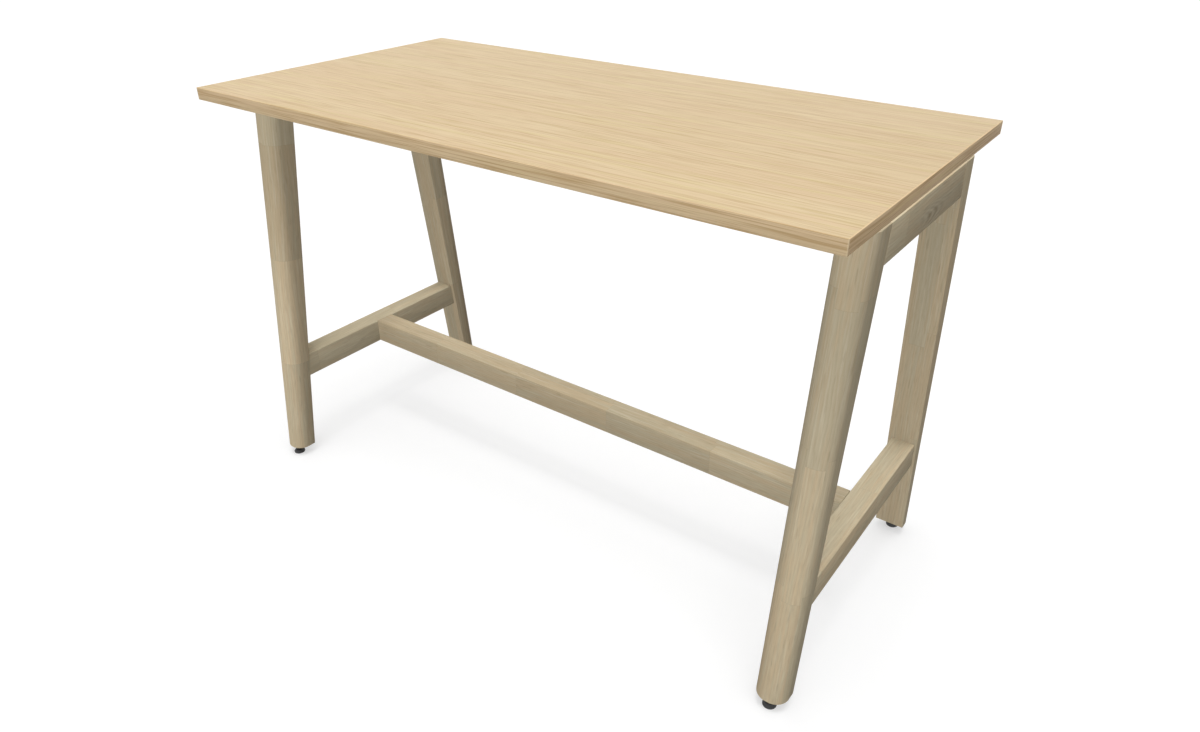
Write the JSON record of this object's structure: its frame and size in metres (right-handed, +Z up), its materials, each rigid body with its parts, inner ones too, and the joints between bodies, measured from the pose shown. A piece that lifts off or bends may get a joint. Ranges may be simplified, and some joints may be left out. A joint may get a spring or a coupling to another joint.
{
  "type": "standing meeting table",
  "caption": "Standing-height meeting table: rectangular wood-look top on splayed tapered timber end frames, joined by a low stretcher, with screw-adjusted feet.",
  "frame": {"origin": "on the floor under the middle of the table", "axes": "+X along the table to its right end, +Y across it to the back, +Z up"},
  "size_m": [1.6, 0.8, 1.045],
  "materials": {
    "top_laminate": "matte pale oak laminate on board",
    "edge_band": "wood-pattern edge band",
    "frame_timber": "matte lacquered jointed timber",
    "beech": "bare beech",
    "zinc_steel": "zinc plated",
    "black_steel": "black, satin",
    "black_plastic": "black, matte"
  },
  "bodies": {
    "table": {"top_panel": "top_laminate", "stretcher": "frame_timber", "edge_band_front": "edge_band", "edge_band_back": "edge_band", "edge_band_left": "edge_band", "edge_band_right": "edge_band", "apron_left": "frame_timber", "lower_rail_left": "frame_timber", "stretcher_stud_left": "zinc_steel", "stretcher_nut_left": "zinc_steel", "stretcher_dowel_left": "beech", "apron_right": "frame_timber", "lower_rail_right": "frame_timber", "stretcher_stud_right": "zinc_steel", "stretcher_nut_right": "zinc_steel", "stretcher_dowel_right": "beech", "leg_front_left": "frame_timber", "apron_tenon_front_left": "beech", "rail_tenon_front_left": "beech", "top_spacer_front_left": "black_plastic", "top_insert_front_left": "zinc_steel", "top_screw_front_left": "black_steel", "leg_insert_front_left": "zinc_steel", "leg_back_left": "frame_timber", "apron_tenon_back_left": "beech", "rail_tenon_back_left": "beech", "top_spacer_back_left": "black_plastic", "top_insert_back_left": "zinc_steel", "top_screw_back_left": "black_steel", "leg_insert_back_left": "zinc_steel", "leg_front_right": "frame_timber", "apron_tenon_front_right": "beech", "rail_tenon_front_right": "beech", "top_spacer_front_right": "black_plastic", "top_insert_front_right": "zinc_steel", "top_screw_front_right": "black_steel", "leg_insert_front_right": "zinc_steel", "leg_back_right": "frame_timber", "apron_tenon_back_right": "beech", "rail_tenon_back_right": "beech", "top_spacer_back_right": "black_plastic", "top_insert_back_right": "zinc_steel", "top_screw_back_right": "black_steel", "leg_insert_back_right": "zinc_steel", "stiffener_front": "black_steel", "stiffener_screw_front_left": "zinc_steel", "stiffener_screw_front_middle": "zinc_steel", "stiffener_screw_front_right": "zinc_steel", "stiffener_back": "black_steel", "stiffener_screw_back_left": "zinc_steel", "stiffener_screw_back_middle": "zinc_steel", "stiffener_screw_back_right": "zinc_steel"},
    "glide_front_left": {"glide_front_left": "black_plastic"},
    "foot_screw_front_left": {"foot_screw_front_left": "black_steel"},
    "glide_back_left": {"glide_back_left": "black_plastic"},
    "foot_screw_back_left": {"foot_screw_back_left": "black_steel"},
    "glide_front_right": {"glide_front_right": "black_plastic"},
    "foot_screw_front_right": {"foot_screw_front_right": "black_steel"},
    "glide_back_right": {"glide_back_right": "black_plastic"},
    "foot_screw_back_right": {"foot_screw_back_right": "black_steel"}
  },
  "joints": [
    {"name": "foot_travel_front_left", "type": "slide", "parent": "table", "child": "glide_front_left", "axis": [0, 0, -1], "range_m": [-0.006, 0.012]},
    {"name": "foot_turn_front_left", "type": "hinge", "parent": "glide_front_left", "child": "foot_screw_front_left", "pos_m": [-0.76, -0.351, 0], "axis": [0, 0, -1], "range_deg": [-1440, 2880]},
    {"name": "foot_travel_back_left", "type": "slide", "parent": "table", "child": "glide_back_left", "axis": [0, 0, -1], "range_m": [-0.006, 0.012]},
    {"name": "foot_turn_back_left", "type": "hinge", "parent": "glide_back_left", "child": "foot_screw_back_left", "pos_m": [-0.76, 0.351, 0], "axis": [0, 0, -1], "range_deg": [-1440, 2880]},
    {"name": "foot_travel_front_right", "type": "slide", "parent": "table", "child": "glide_front_right", "axis": [0, 0, -1], "range_m": [-0.006, 0.012]},
    {"name": "foot_turn_front_right", "type": "hinge", "parent": "glide_front_right", "child": "foot_screw_front_right", "pos_m": [0.76, -0.351, 0], "axis": [0, 0, -1], "range_deg": [-1440, 2880]},
    {"name": "foot_travel_back_right", "type": "slide", "parent": "table", "child": "glide_back_right", "axis": [0, 0, -1], "range_m": [-0.006, 0.012]},
    {"name": "foot_turn_back_right", "type": "hinge", "parent": "glide_back_right", "child": "foot_screw_back_right", "pos_m": [0.76, 0.351, 0], "axis": [0, 0, -1], "range_deg": [-1440, 2880]}
  ],
  "couplings": [
    {"joint": "foot_turn_front_left", "follows": "foot_travel_front_left", "rad_per_m": 4188.8},
    {"joint": "foot_turn_back_left", "follows": "foot_travel_back_left", "rad_per_m": 4188.8},
    {"joint": "foot_turn_front_right", "follows": "foot_travel_front_right", "rad_per_m": 4188.8},
    {"joint": "foot_turn_back_right", "follows": "foot_travel_back_right", "rad_per_m": 4188.8}
  ]
}
